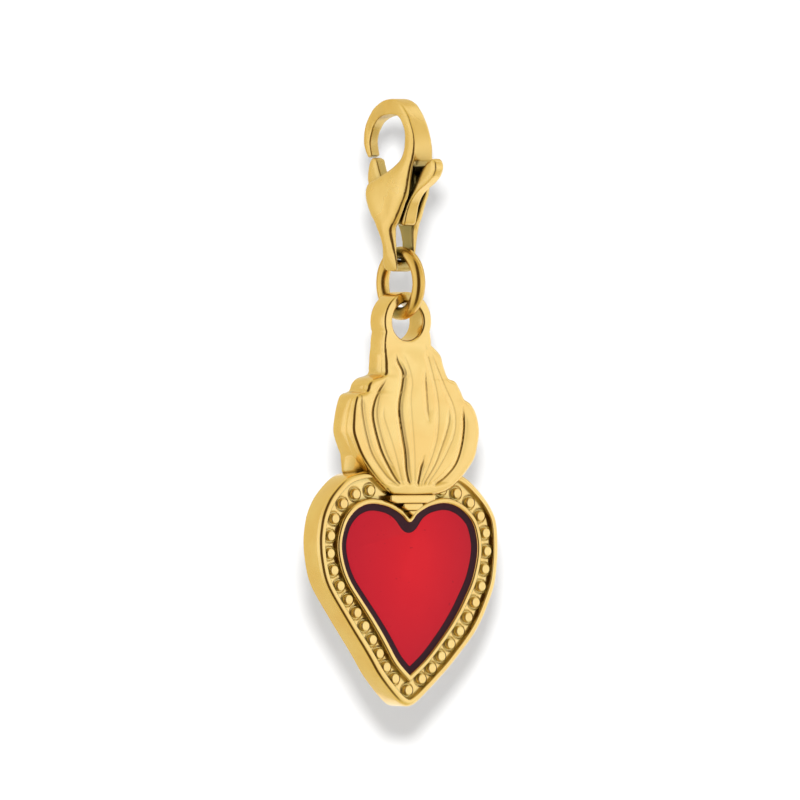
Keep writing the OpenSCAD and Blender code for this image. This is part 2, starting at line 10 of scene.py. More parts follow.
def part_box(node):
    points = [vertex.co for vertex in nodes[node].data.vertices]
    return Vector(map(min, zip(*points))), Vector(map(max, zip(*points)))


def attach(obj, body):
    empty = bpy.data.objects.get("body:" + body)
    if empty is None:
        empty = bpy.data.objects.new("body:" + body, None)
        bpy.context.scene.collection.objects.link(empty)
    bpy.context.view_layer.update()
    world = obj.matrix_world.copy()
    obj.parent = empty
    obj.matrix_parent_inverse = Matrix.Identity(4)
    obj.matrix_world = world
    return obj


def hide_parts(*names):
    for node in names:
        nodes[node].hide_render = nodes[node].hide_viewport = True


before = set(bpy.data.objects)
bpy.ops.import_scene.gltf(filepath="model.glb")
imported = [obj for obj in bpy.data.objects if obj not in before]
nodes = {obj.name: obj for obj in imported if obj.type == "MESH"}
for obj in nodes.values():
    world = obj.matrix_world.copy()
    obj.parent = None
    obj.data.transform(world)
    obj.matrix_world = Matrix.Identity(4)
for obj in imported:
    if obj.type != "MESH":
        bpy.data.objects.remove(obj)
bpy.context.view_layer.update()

scene = bpy.context.scene
mm = 0.001  # shapes are made in millimetres and brought to metres at the end
mergeGap = 1e-4  # points closer than this, in millimetres, are one


def box(node):
    low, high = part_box(node)
    return np.array(low) / mm, np.array(high) / mm


# the levels that the CAD gives, in millimetres
heartDrop = 11.5
plateY = box("outer_rim")[1][1]  # front face of the plate
backY = 0.9  # back of the plate, round its flat pad
widestZ = box("outer_rim")[0][2] + heartDrop  # widest level of the heart
print("frame: plate front", round(plateY, 3), "widest level", round(widestZ, 3))


# a hex colour in sRGB as the linear colour that the nodes take
def linear(code):
    values = [int(code[i:i + 2], 16) / 255 for i in (1, 3, 5)]
    return tuple(v / 12.92 if v <= 0.04045 else ((v + 0.055) / 1.055) ** 2.4 for v in values) + (1,)


def addNode(tree, kind, settings=None, links=None):
    node = tree.nodes.new(kind)
    for name, value in (settings or {}).items():
        if isinstance(name, str) and hasattr(node, name):
            setattr(node, name, value)
        else:
            node.inputs[name].default_value = value
    for name, (source, output) in (links or {}).items():
        tree.links.new(source.outputs[output], node.inputs[name])
    return node


def newMaterial(name):
    material = bpy.data.materials.new(name)
    material.use_nodes = True
    material.node_tree.nodes.clear()
    return material, material.node_tree


def surfaced(material, shader, output="BSDF"):
    addNode(material.node_tree, "ShaderNodeOutputMaterial", links={"Surface": (shader, output)})
    return material


# the sizes of noises and the depths of bumps are in millimetres
def noise(tree, place, size, detail=2, roughness=0.5):
    return addNode(tree, "ShaderNodeTexNoise",
                   {"Scale": 1000 / size, "Detail": detail, "Roughness": roughness},
                   {"Vector": (place, "Object")})


def bumped(tree, source, depth, under=None):
    links = {"Height": (source, "Fac")}
    if under:
        links["Normal"] = (under, "Normal")
    return addNode(tree, "ShaderNodeBump", {"Strength": 1.0, "Distance": depth * mm}, links)


def remap(tree, source, fromRange, toRange=(0, 1)):
    return addNode(tree, "ShaderNodeMapRange",
                   {"From Min": fromRange[0], "From Max": fromRange[1],
                    "To Min": toRange[0], "To Max": toRange[1]}, {"Value": source})


def ramp(tree, source, low, high):
    node = addNode(tree, "ShaderNodeValToRGB", links={"Fac": source})
    for element, (position, code) in zip(node.color_ramp.elements, (low, high)):
        element.position, element.color = position, linear(code)
    return node


# a sum of numbers and other nodes' outputs
def reckon(tree, operation, *terms):
    numbers = {k: term for k, term in enumerate(terms) if isinstance(term, float)}
    links = {k: term for k, term in enumerate(terms) if not isinstance(term, float)}
    node = addNode(tree, "ShaderNodeMath", {"operation": operation, **numbers}, links)
    return node, "Value"


# mixes two colours, each a hex code or another node's output
def blend(tree, share, low, high):
    codes = {k: linear(c) for k, c in ((6, low), (7, high)) if isinstance(c, str)}
    links = {k: c for k, c in ((6, low), (7, high)) if not isinstance(c, str)}
    return addNode(tree, "ShaderNodeMix", {"data_type": "RGBA", **codes}, {0: share, **links})


# Gold-plated cast brass, tumbled and polished: a warm mirror with soft ripples and slightly duller
# patches. Painted shade darkens it where the casting is recessed, and along the flame's grooves.
def castGold(name, look):
    material, tree = newMaterial(name)
    place = addNode(tree, "ShaderNodeTexCoord")
    patches = noise(tree, place, look["patch"], 3, 0.55)
    tone = ramp(tree, (patches, "Fac"), (0.32, look["dull"]), (0.68, look["bright"]))
    # painted shade: an occlusion test darkens the metal towards its recess tone where the casting
    # shuts it in
    recessShade = addNode(tree, "ShaderNodeAmbientOcclusion",
                     {"samples": 6, "Distance": look["shadeReach"] * mm})
    reach = remap(tree, (recessShade, "AO"), (look["shadeFrom"], look["shadeTo"]))
    shadedTone = blend(tree, (reach, "Result"), look["recessShade"], (tone, "Color"))
    # painted shade along the flame's grooves, read from the mesh's attribute
    groove = addNode(tree, "ShaderNodeAttribute", {"attribute_name": "groove"})
    colour = blend(tree, (groove, "Fac"), (shadedTone, 2), look["groove"])
    polish = remap(tree, (patches, "Fac"), (0.3, 0.7), look["roughness"])
    wave = bumped(tree, noise(tree, place, look["ripple"]), look["rippleDepth"])
    bump = bumped(tree, noise(tree, place, look["grain"]), look["grainDepth"], wave)
    shader = addNode(tree, "ShaderNodeBsdfPrincipled", {"Metallic": 1.0},
                     {"Base Color": (colour, 2), "Roughness": (polish, "Result"),
                      "Normal": (bump, "Normal")})
    return surfaced(material, shader)


pendantLook = {
    # the recess and groove tones are painted shade; bright and dull are the metal's own patches
    "bright": "#FFDF92", "dull": "#FBD484", "recessShade": "#BA9F5A", "groove": "#86621F",
    "patch": 2.4,  # clouds of polish, mm
    # painted shade: how far off a wall darkens the metal, mm, and the open share where it starts
    # and ends
    "shadeReach": 1.5, "shadeFrom": 0.3, "shadeTo": 0.9,
    "roughness": (0.13, 0.2),
    "ripple": 0.55, "rippleDepth": 0.0035,  # ripples of the casting, mm
    "grain": 0.09, "grainDepth": 0.0006,  # as coarse as it needs to show
}
# the clasp's recess tone, over its long reach, and the beads' round their feet are painted shade
claspLook = dict(pendantLook, bright="#FEDC8C", dull="#F2CA76", recessShade="#948A5C", patch=3.2,
                 shadeReach=4.5, shadeFrom=0.32, shadeTo=0.94,
                 roughness=(0.2, 0.3), ripple=0.9, rippleDepth=0.004,
                 grain=0.07, grainDepth=0.0008)
beadLook = dict(pendantLook, bright="#FFE196", dull="#FBD688", recessShade="#98905A",
                shadeReach=0.32, shadeFrom=0.2, shadeTo=0.95)


# Hard vitreous enamel, stoned flat and fire-polished: a deep even colour that is a little lighter
# in the middle of the field and darker towards its edges, with a few fine specks.
def enamel(name, look):
    material, tree = newMaterial(name)
    place = addNode(tree, "ShaderNodeTexCoord")
    centred = addNode(tree, "ShaderNodeMapping",
                      {"vector_type": "TEXTURE",
                       "Location": tuple(v * mm for v in look["centre"]),
                       "Scale": tuple(v * mm for v in look["reach"])},
                      {"Vector": (place, "Object")})
    fall = addNode(tree, "ShaderNodeTexGradient", {"gradient_type": "SPHERICAL"},
                   {"Vector": (centred, "Vector")})
    field = ramp(tree, (fall, "Fac"), (0, look["edge"]), (0.85, look["middle"]))
    clouds = noise(tree, place, look["cloud"])
    specks = noise(tree, place, look["speck"], 0)
    dark = remap(tree, (specks, "Fac"), (0.78, 0.84), (0, 0.5))
    shade = remap(tree, (clouds, "Fac"), (0.3, 0.7), (0, 0.22))
    clouded = blend(tree, (shade, "Result"), (field, "Color"), look["cloudTone"])
    colour = blend(tree, (dark, "Result"), (clouded, 2), look["speckTone"])
    gloss = remap(tree, (clouds, "Fac"), (0.3, 0.7), (0.16, 0.24))
    bump = bumped(tree, clouds, 0.004)
    shader = addNode(tree, "ShaderNodeBsdfPrincipled",
                     {"Specular IOR Level": look["specular"], "IOR": 1.5},
                     {"Base Color": (colour, 2), "Roughness": (gloss, "Result"),
                      "Normal": (bump, "Normal")})
    return surfaced(material, shader)


redLook = {"middle": "#CF222C", "edge": "#B01C2C", "cloud": 3.0, "cloudTone": "#BC1A2A",
           "speck": 0.3, "speckTone": "#8E1424", "specular": 0.1,
           "centre": (0.6, 0.0, -30.6), "reach": (6.6, 20.0, 9.5)}
darkLook = {"middle": "#351A22", "edge": "#2C151C", "cloud": 1.5, "cloudTone": "#3E1620",
            "speck": 0.25, "speckTone": "#22101A", "specular": 0.12,
            "centre": (0.0, 0.0, -30.0), "reach": (8.0, 20.0, 12.0)}


# Bright-drawn stainless spring wire, finely mottled by the drawing die.
def drawnSteel():
    material, tree = newMaterial("drawnSteel")
    place = addNode(tree, "ShaderNodeTexCoord")
    lines = noise(tree, place, 0.05)
    tone = ramp(tree, (lines, "Fac"), (0, "#8E8F91"), (1, "#C4C5C8"))
    bump = bumped(tree, lines, 0.0005)
    shader = addNode(tree, "ShaderNodeBsdfPrincipled", {"Metallic": 1.0, "Roughness": 0.28},
                     {"Base Color": (tone, "Color"), "Normal": (bump, "Normal")})
    return surfaced(material, shader)


pendantGold = castGold("pendantGold", pendantLook)
beadGold = castGold("beadGold", beadLook)
claspGold = castGold("claspGold", claspLook)
# the ring's recess tone is painted shade as well
ringGold = castGold("ringGold", dict(claspLook, bright="#F3CC78", dull="#E8BF68",
                                     shadeReach=1.2, shadeFrom=0.3, shadeTo=0.9))
redEnamel = enamel("redEnamel", redLook)
darkEnamel = enamel("darkEnamel", darkLook)
springSteel = drawnSteel()
print("materials: made")


# the faces between neighbouring rows of points; around joins the ends of each row, and closed
# the last row to the first
def strips(rows, count, around=False, closed=False):
    faces = []
    for r in range(rows if closed else rows - 1):
        a, b = r * count, (r + 1) % rows * count
        for k in range(count if around else count - 1):
            n = (k + 1) % count
            faces.append((a + k, a + n, b + n, b + k))
    return faces


def newMesh(name, points, faces, edges=()):
    mesh = bpy.data.meshes.new(name)
    mesh.from_pydata(points, edges, faces)
    return mesh


def readPoints(vertices, field="co"):
    values = np.empty(len(vertices) * 3)
    vertices.foreach_get(field, values)
    return values.reshape(-1, 3)


def linked(name, data):
    made = bpy.data.objects.new(name, data)
    scene.collection.objects.link(made)
    return made


# the mesh that an object's modifiers or curve settings make
def evaluated(holder):
    bpy.context.view_layer.update()
    ready = holder.evaluated_get(bpy.context.evaluated_depsgraph_get())
    return bpy.data.meshes.new_from_object(ready)


# A shape in the making: points in millimetres and faces over them.
class Shape:
    def __init__(self):
        self.points, self.faces = [], []

    def add(self, points, faces):
        start = len(self.points)
        self.points += [tuple(map(float, p)) for p in points]
        self.faces += [tuple(int(i) + start for i in f) for f in faces]

    def piece(self, name, smoothAngle):
        mesh = newMesh(name, self.points, self.faces)
        work = bmesh.new()
        work.from_mesh(mesh)
        bmesh.ops.remove_doubles(work, verts=work.verts, dist=mergeGap)
        bmesh.ops.dissolve_degenerate(work, edges=work.edges, dist=mergeGap)
        bmesh.ops.recalc_face_normals(work, faces=work.faces)
        work.to_mesh(mesh)
        work.free()
        return asPiece(name, mesh, smoothAngle)


def asPiece(name, mesh, smoothAngle):
    mesh.transform(Matrix.Scale(mm, 4))
    mesh.polygons.foreach_set("use_smooth", [True] * len(mesh.polygons))
    mesh.set_sharp_from_angle(angle=math.radians(smoothAngle))
    mesh.name = name
    return linked(name, mesh)


def fit(piece, body, node, material):
    piece.data.materials.clear()
    piece.data.materials.append(material)
    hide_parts(node)
    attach(piece, body)
    print("piece:", piece.name, len(piece.data.polygons), "faces")


# a curve that passes through all the points
def smoothLine(points, steps):
    p = np.array(points, float)
    out = []
    for k in range(len(p) - 1):
        a, b, c, d = p[max(k - 1, 0)], p[k], p[k + 1], p[min(k + 2, len(p) - 1)]
        for t in np.arange(steps) / steps:
            out.append(0.5 * (2 * b + (c - a) * t + (2 * a - 5 * b + 4 * c - d) * t * t
                              + (3 * b - a - 3 * c + d) * t ** 3))
    out.append(p[-1])
    return np.array(out)


# The two heart outlines as shares of their own sizes, from the cleft down to the point.
heart = {
    "width": 15.4, "rise": 4.95, "drop": heartDrop, "sway": 0.5, "innerSway": 0.8,
    "borderSide": 1.92, "borderTop": 2.31, "borderLow": 2.34, "pointGap": 1.06,
    "pointRound": 0.55,  # half width of the rounding of the outer point
    "pointTurns": 40, "cleftTurns": 30, "cleftFall": 0.95,  # how strongly corners are worn
    "top": [(0, 0.95), (0.2, 0.98), (0.38, 1), (0.55, 0.965), (0.68, 0.88), (0.81, 0.71),
            (0.90, 0.545), (0.962, 0.37), (0.99, 0.2)],
    "low": [(1, 0), (0.99, -0.11), (0.945, -0.25), (0.83, -0.395), (0.687, -0.54),
            (0.503, -0.69), (0.397, -0.774), (0.289, -0.848), (0.165, -0.925),
            (0.085, -0.968), (0, -1)],
    "innerTop": [(0, 0.48), (0.11, 0.70), (0.23, 0.85), (0.36, 0.95), (0.53, 1), (0.68, 0.94),
                 (0.82, 0.77), (0.94, 0.46)],
    "innerLow": [(1, 0), (0.985, -0.13), (0.9, -0.286), (0.748, -0.437), (0.578, -0.587),
                 (0.394, -0.738), (0.2, -0.889), (0, -1)],
    "swayShares": [(-0.08, -1), (0, -0.92), (0.2, -0.84), (0.4, -0.78), (0.7, -0.705),
                   (1, -0.588), (0.96, -0.468), (0.64, -0.348), (0.4, -0.267),
                   (0.18, -0.174), (0, 0), (0, 0.12), (-0.18, 0.22), (-0.33, 0.28),
                   (-0.5, 0.43)],
}
innerWidth = heart["width"] - 2 * heart["borderSide"]
innerRise = heart["rise"] - heart["borderTop"]
innerDrop = heart["drop"] - heart["borderLow"]
beadDrop = innerDrop + heart["pointGap"]


def halfLine(top, low, width, rise, drop, steps=10):
    points = [(x * width / 2, z * rise) for x, z in heart[top]]
    points += [(x * width / 2, z * drop) for x, z in heart[low]]
    return smoothLine(points, steps)


# each outline: its half, the depth and the share of its sway, and the rounding of its point
outerHeart = (halfLine("top", "low", heart["width"], heart["rise"], heart["drop"]),
              heart["drop"], 1, heart["pointRound"])
innerHeart = (halfLine("innerTop", "innerLow", innerWidth, innerRise, innerDrop),
              beadDrop, heart["innerSway"], 0)
swayLine = smoothLine(heart["swayShares"], 5)


def swayed(points, drop, share=1):
    points = np.array(points, float)
    shift = np.interp(points[:, 1] / drop, swayLine[:, 1], swayLine[:, 0])
    points[:, 0] += share * heart["sway"] * shift
    return points


def offsetHalf(half, distance):
    along = np.vstack([half[1:], half[-1:]]) - np.vstack([half[:1], half[:-1]])
    along /= np.linalg.norm(along, axis=1)[:, None]
    out = np.stack([-along[:, 1], along[:, 0]], 1)
    moved = half + out * distance
    ends = [(0, half[k, 1] + distance / out[k, 1]) for k in (0, -1)]
    for k in range(len(moved)):  # both corners are mitred on the middle line
        if k in (0, len(moved) - 1) or moved[k, 0] < 0:
            moved[k] = ends[0] if k < len(moved) // 2 else ends[1]
    return moved


def soften(loop, near, turns):
    for turn in range(turns):
        middle = (np.roll(loop, 1, 0) + np.roll(loop, -1, 0)) / 2
        loop += (middle - loop) * near[:, None]


# Round a heart at a distance from its outline; blunt is how far its cleft is worn round
def heartLoop(line, distance, blunt):
    half, drop, share, point = line
    right = offsetHalf(half, distance)
    loop = np.vstack([right, right[-2:0:-1] * (-1, 1)])
    if blunt:
        near = np.exp(-(loop[:, 0] / blunt) ** 2) * (loop[:, 1] > 0)
        loop[:, 1] -= heart["cleftFall"] * blunt * near
        soften(loop, near, heart["cleftTurns"])
    if point:
        near = np.exp(-(loop[:, 0] / point) ** 2) * (loop[:, 1] < 0)
        soften(loop, near, heart["pointTurns"])
    return swayed(loop, drop, share)


def standUp(loop, height):
    return [(x, plateY - height, widestZ + z) for x, z in loop]


# A profile of (offset, height over the plate) carried round a heart. Where the profile isn't
# closed, flat faces close its two ends. The cleft is worn by blunt, and by edgeBlunt at the edge.
def sweep(shape, line, profile, closed=True, blunt=0, edgeBlunt=0):
    edgeBand = -0.1
    rings = [standUp(heartLoop(line, offset, blunt if offset < edgeBand else edgeBlunt), height)
             for offset, height in profile]
    count = len(rings[0])
    faces = strips(len(rings), count, True, closed)
    if not closed:
        faces += [tuple(range(a, a + count)) for a in (0, (len(rings) - 1) * count)]
    shape.add([p for ring in rings for p in ring], faces)


def sweptPiece(name, line, profile, angle, **options):
    shape = Shape()
    sweep(shape, line, profile, **options)
    return shape.piece(name, angle)


def arc(centre, radius, fromAngle, toAngle, steps):
    return [(centre[0] + radius * math.cos(math.radians(t)),
             centre[1] + radius * math.sin(math.radians(t)))
            for t in np.linspace(fromAngle, toAngle, steps + 1)]


# A flat shape with rounded edges, from outlines and holes in the plane of the heart.
def slab(shape, outlines, front, back, rounding, steps):
    curve = bpy.data.curves.new("slab", "CURVE")
    curve.dimensions, curve.fill_mode = "2D", "BOTH"
    curve.extrude = (back - front) / 2 - rounding
    curve.bevel_depth, curve.bevel_resolution, curve.offset = rounding, steps, -rounding
    for outline in outlines:
        spline = curve.splines.new("POLY")
        spline.points.add(len(outline) - 1)
        spline.use_cyclic_u = True
        for point, (x, z) in zip(spline.points, outline):
            point.co = (x, z, 0, 1)
    holder = linked("slab", curve)
    made = evaluated(holder)
    middle = (front + back) / 2
    shape.add([(v.co.x, middle - v.co.z, widestZ + v.co.y) for v in made.vertices],
              [tuple(p.vertices) for p in made.polygons])
    bpy.data.objects.remove(holder)
    bpy.data.meshes.remove(made)


# the flanks of a casting: where they start from its middle, and the bands in which they lean and
# are worn; facing is how squarely a face has to look sideways to be one
casting = {"flankFrom": 0.72, "leanBand": 0.4, "wearBand": 0.25, "facing": 0.85, "leanFade": 1.5,
           "spotFade": 1.5}


# How far out on a flank each point is, from 0 at its start to 1 past the band
def outward(points, band):
    return np.clip((np.abs(points[:, 0]) - casting["flankFrom"]) / band, 0, 1)


# How near each point is to a spot, from 1 in its core to 0 outside it
def nearSpot(points, centre, radius):
    far = np.linalg.norm((points - centre) / radius, axis=1)
    return np.clip(casting["spotFade"] - far, 0, 1)


# A CAD node's mesh, merged and evenly remeshed, its flanks domed and its edges worn round as a
# tumbled casting's are. A spot (x, y, z, radius, wear) is worn more or less than the rest, and a
# stretch (x, y, z, radius, rise) is moved up.
def worn(node, name, look, plugs=()):
    mesh = nodes[node].data.copy()
    mesh.transform(Matrix.Scale(1 / mm, 4))
    work = bmesh.new()
    work.from_mesh(mesh)
    bmesh.ops.remove_doubles(work, verts=work.verts, dist=mergeGap)
    for place, radius, depth in plugs:
        bmesh.ops.create_cone(work, cap_ends=True, segments=32, radius1=radius, radius2=radius,
                              depth=depth, matrix=Matrix.Translation(place)
                              @ Matrix.Rotation(math.radians(90), 4, "Y"))
    work.to_mesh(mesh)
    work.free()
    holder = linked(name, mesh)
    remesh = holder.modifiers.new("even", "REMESH")
    remesh.mode, remesh.voxel_size = "VOXEL", look["voxel"]
    made = evaluated(holder)
    bpy.data.objects.remove(holder)
    count = len(made.vertices)
    spots, normals = readPoints(made.vertices), readPoints(made.vertices, "normal")
    if look.get("dome"):
        outer = ((np.abs(normals[:, 0]) > casting["facing"])
                 & (spots[:, 0] * normals[:, 0] > look["domeFrom"]))
        border = np.where(~outer)[0]
        tree = KDTree(len(border))
        for slot, k in enumerate(border):
            tree.insert(spots[k], slot)
        tree.balance()
        share = np.ones(count)
        for k in np.where(outer)[0]:
            share[k] = (1 - min(tree.find(spots[k])[2] / look["domeReach"], 1)) ** 2
        share *= np.clip((np.abs(spots[:, 0]) - look["domeFrom"]) / look["domeBand"], 0, 1)
        spots[:, 0] -= np.sign(spots[:, 0]) * look["dome"] * share
    if look.get("lean"):  # the cheeks lean in towards the front
        slope, back, low, high = look["lean"]
        fade = casting["leanFade"]
        level = (np.clip((spots[:, 2] - low) / fade, 0, 1)
                 * np.clip((high - spots[:, 2]) / fade, 0, 1))
        outside = outward(spots, casting["leanBand"])
        spots[:, 0] -= (np.sign(spots[:, 0]) * slope * level * outside
                        * np.maximum(back - spots[:, 1], 0))
    # the edges of the flanks are tumbled rounder than those inside the slot
    wear = look["wear"] + ((look.get("outerWear", look["wear"]) - look["wear"])
                           * outward(spots, casting["wearBand"]))
    for x, y, z, radius, amount in look.get("spots", ()):
        wear += (amount - wear) * nearSpot(spots, (x, y, z), radius)
    ends = np.empty(len(made.edges) * 2, int)
    made.edges.foreach_get("vertices", ends)
    a, b = ends[::2], ends[1::2]
    degree = np.bincount(ends, minlength=count)[:, None]
    for turn in range(look["rounds"]):
        total = np.zeros((count, 3))
        for axis in range(3):
            total[:, axis] = (np.bincount(a, spots[b, axis], count)
                              + np.bincount(b, spots[a, axis], count))
        spots += (total / degree - spots) * wear[:, None]
    for x, y, z, radius, up in look.get("stretch", ()):
        spots[:, 2] += up * nearSpot(spots, (x, y, z), radius)
    made.vertices.foreach_set("co", spots.ravel())
    made.update()
    return asPiece(name, made, 60)


# Flame: hand-cut tongues over a bulging belly
flame = {
    "width": 10.5, "lean": 0.35, "lift": 3.25, "height": 10.4, "margin": 0.24,
    "belly": 1.07, "flank": 0.2, "edge": 0.34,
    "levels": [0.70, 0.88, 1, 0.98, 0.88, 0.76, 0.66, 0.56, 0.42, 0.2],
    "footReach": 0.12, "topReach": 0.12, "bailFace": 0.253,
    "grooveSpread": 2.4, "valleyShare": 0.37, "creaseShare": 0.2, "crease": 0.055,
    "grooveShade": 0.9, "grooveShadeReach": 0.065,  # painted shade in the grooves: its depth of tone and half width
    "tipFade": 0.9, "footFade": 0.35, "footLevel": 5,  # how fast a groove ends, mm
    # where the surface runs out into the bail's face, and how sharply
    "bailStart": 0.9, "bailBand": 0.6, "bailBlend": 0.03,
    "footEdge": 0.12, "topEdge": 0.14, "footSink": 0.05, "leastHeight": 0.02,
    "left": [(-0.311, 0), (-0.399, 0.024), (-0.574, 0.095), (-0.739, 0.177), (-0.875, 0.265),
             (-0.953, 0.344), (-1.001, 0.424), (-0.987, 0.504), (-0.953, 0.583), (-0.889, 0.66),
             (-0.749, 0.69), (-0.705, 0.735), (-0.622, 0.772), (-0.447, 0.8), (-0.423, 0.85),
             (-0.412, 0.93), (-0.39, 1)],
    "right": [(0.296, 0), (0.581, 0.05), (0.874, 0.21), (0.966, 0.33), (1, 0.435),
              (0.962, 0.54), (0.877, 0.605), (0.781, 0.635), (0.724, 0.69), (0.647, 0.75),
              (0.534, 0.775), (0.471, 0.85), (0.417, 0.93), (0.25, 1)],
    "tongueSwell": 0.09, "tongueReach": 0.45,
    # each groove: depth, half width, and its track as (x, height over the widest level)
    "grooves": [
        (0.12, 0.1, [(-4.25, 10.3), (-4.2, 8.75), (-3.95, 7.25), (-3.45, 5.95), (-2.25, 4.6),
                     (-1.25, 3.95)]),
        (0.2, 0.11, [(-2.05, 11.3), (-2.7, 10.4), (-3.15, 9.6), (-3.35, 8.65), (-3.1, 7.25),
                     (-2.65, 6.05), (-1.85, 4.85), (-1.15, 4.05)]),
        (0.1, 0.08, [(-2.4, 10.9), (-2.85, 9.7), (-3.02, 8.65), (-2.75, 7.25), (-2.3, 6.05),
                     (-1.65, 5)]),
        (0.07, 0.1, [(-2.4, 9.45), (-2.4, 8.65), (-2.05, 7.5), (-1.65, 6.3), (-1.25, 5.05),
                     (-0.85, 4.05)]),
        (0.2, 0.11, [(-1.05, 12.95), (-1, 12.5), (-0.6, 11.75), (-0.7, 10.9), (-1.05, 9.6),
                     (-1.1, 8.65), (-0.95, 7.25), (-0.8, 6.3), (-0.65, 5.05), (-0.3, 4.05)]),
        (0.06, 0.1, [(-0.45, 12.95), (0, 11.95), (0.15, 10.9), (-0.05, 9.6), (0.05, 5.45),
                     (0.2, 4.05)]),
        (0.13, 0.09, [(1.3, 11.85), (1.35, 9.65), (1.35, 8.35)]),
        (0.2, 0.11, [(0.8, 5.95), (0.6, 5.05), (0.45, 3.95)]),
        (0.08, 0.1, [(1.5, 13.6), (1.75, 12.55), (2.05, 11.3), (2.3, 9.95), (2.3, 8.65),
                     (2.05, 7.25), (1.6, 6.05), (1.05, 4.75), (0.7, 3.95)]),
        (0.13, 0.09, [(3.15, 9.25), (3.2, 8.4), (2.85, 7.45), (2.3, 6.35), (1.75, 5.2), (0.95, 4)]),
        (0.08, 0.1, [(2, 12.95), (2.5, 11.85), (3, 10.7), (3.55, 9.6), (3.75, 8.65), (3.55, 7.45),
                     (2.85, 6.2), (2.1, 5.05), (1.3, 4)]),
        (0.24, 0.13, [(4.4, 9.25), (4.5, 8.4), (4.4, 7.5), (4.1, 6.35), (3.6, 5.25), (2.75, 4.4),
                      (1.95, 3.95)]),
    ],
}


def flameLine(shares):
    return smoothLine([(flame["lean"] + x * flame["width"] / 2,
                        flame["lift"] + z * flame["height"]) for x, z in shares], 8)


# the two sides of the flame's body, out past the relief by its margin
def flameSides():
    left, right = flameLine(flame["left"]), flameLine(flame["right"])
    left[:, 0] -= flame["margin"]
    right[:, 0] += flame["margin"]
    return left, right


# from each place to the nearest point of a line
def segmentDistance(x, z, line):
    best = np.full(x.shape, 1e9)
    for (ax, az), (bx, bz) in zip(line[:-1], line[1:]):
        dx, dz = bx - ax, bz - az
        t = np.clip(((x - ax) * dx + (z - az) * dz) / max(dx * dx + dz * dz, 1e-9), 0, 1)
        best = np.minimum(best, np.hypot(x - ax - t * dx, z - az - t * dz))
    return best


# The depth of the grooves, the distance to the nearest one, and how dark the painted shade in it is
def carve(xs, zs):
    near, cut, grooveShade = np.full(xs.shape, 9.0), np.zeros(xs.shape), np.zeros(xs.shape)
    for depth, half, track in flame["grooves"]:
        line = smoothLine(track[::-1], 6)
        gap = segmentDistance(xs, zs, line)
        low, high = line[0][1], line[-1][1]
        # grooves that reach the collar end sharply there
        lowFade = flame["footFade"] if low < flame["footLevel"] else flame["tipFade"]
        fade = (np.clip((high - zs) / flame["tipFade"] + 0.1, 0, 1)
                * np.clip((zs - low) / lowFade + flame["footFade"] / lowFade / 2, 0, 1))
        near = np.minimum(near, gap + (1 - fade) * 0.5)
        wide = half * flame["grooveSpread"]
        valley = flame["valleyShare"] * np.exp(-(gap / wide) ** 2)
        crease = flame["creaseShare"] * np.exp(-(gap / flame["crease"]) ** 2)
        cut = np.maximum(cut, depth * fade * (valley + crease))
        # painted shade: a dark line along each groove, darker for deeper ones
        mark = np.clip(depth / 0.2, 0, 1) * fade * np.exp(-(gap / flame["grooveShadeReach"]) ** 2)
        grooveShade = np.maximum(grooveShade, flame["grooveShade"] * mark)
    return cut, near, grooveShade


def makeFlame(rows=270, columns=260):
    left, right = flameSides()
    bottom, top = flame["lift"], flame["lift"] + flame["height"]
    z = np.linspace(bottom - flame["footReach"], top + flame["topReach"], rows)
    zs = np.repeat(z[:, None], columns, 1)
    even = np.linspace(0, 1, columns)
    share = (1 - np.cos(np.pi * even)) / 8 + even * 0.75  # closer columns at both sides
    leftX = np.interp(z, left[:, 1], left[:, 0])[:, None]
    rightX = np.interp(z, right[:, 1], right[:, 0])[:, None]
    xs = leftX + (rightX - leftX) * share[None, :]
    across = (xs - (leftX + rightX) / 2) / ((rightX - leftX) / 2)
    levels = smoothLine(list(zip(np.linspace(0, 1, len(flame["levels"])), flame["levels"])), 6)
    height = flame["belly"] * np.interp((zs - bottom) / (top - bottom), levels[:, 0], levels[:, 1])
    height *= 1 - flame["flank"] * across ** 2
    cut, near, grooveShade = carve(xs, zs)
    swell = flame["tongueSwell"] * (1 - np.exp(-(near / flame["tongueReach"]) ** 2))
    height += swell - flame["tongueSwell"] - cut
    # towards the top the surface runs out into the bail's face
    face = flame["bailFace"]
    soft = flame["bailBlend"]
    over = face + np.log1p(np.exp((height - face) / soft)) * soft
    runOut = np.clip((zs - top + flame["bailStart"]) / flame["bailBand"], 0, 1)
    height = height * (1 - runOut) + over * runOut
    rim = np.vstack([left[::-1], right])  # the base joins the two sides
    gap = segmentDistance(xs, zs, rim)
    r = np.interp(zs, [bottom, bottom + 0.5, top - 1.2, top],
                  [flame["footEdge"], flame["edge"], flame["edge"], flame["topEdge"]])
    gap = np.where(zs < bottom, 0, np.minimum(gap, r))
    height -= r - np.sqrt(np.maximum(r * r - (r - gap) ** 2, 0))
    # a foot at both ends of every row closes the wall and the back
    foot = np.full((rows, 1), -flame["footSink"])
    xs = np.hstack([xs[:, :1], xs, xs[:, -1:]])
    zs = np.hstack([zs[:, :1], zs, zs[:, -1:]])
    height = np.hstack([foot, np.maximum(height, flame["leastHeight"]), foot])
    count = columns + 2
    points = np.stack([xs, plateY - height, widestZ + zs], 2).reshape(-1, 3)
    faces = strips(rows, count, True)
    faces += [tuple(range(count)), tuple(range((rows - 1) * count, rows * count))]
    shape = Shape()
    shape.add(points, faces)
    relief = shape.piece("flameRelief", 50)
    places = readPoints(relief.data.vertices) / mm
    # the painted shade along the grooves is stored on the mesh for the metal
    grooveShade = carve(places[:, 0], places[:, 2] - widestZ)[2]
    relief.data.attributes.new("groove", "FLOAT", "POINT").data.foreach_set("value", grooveShade)
    return relief


fit(makeFlame(), "pendant", "flame_relief", pendantGold)

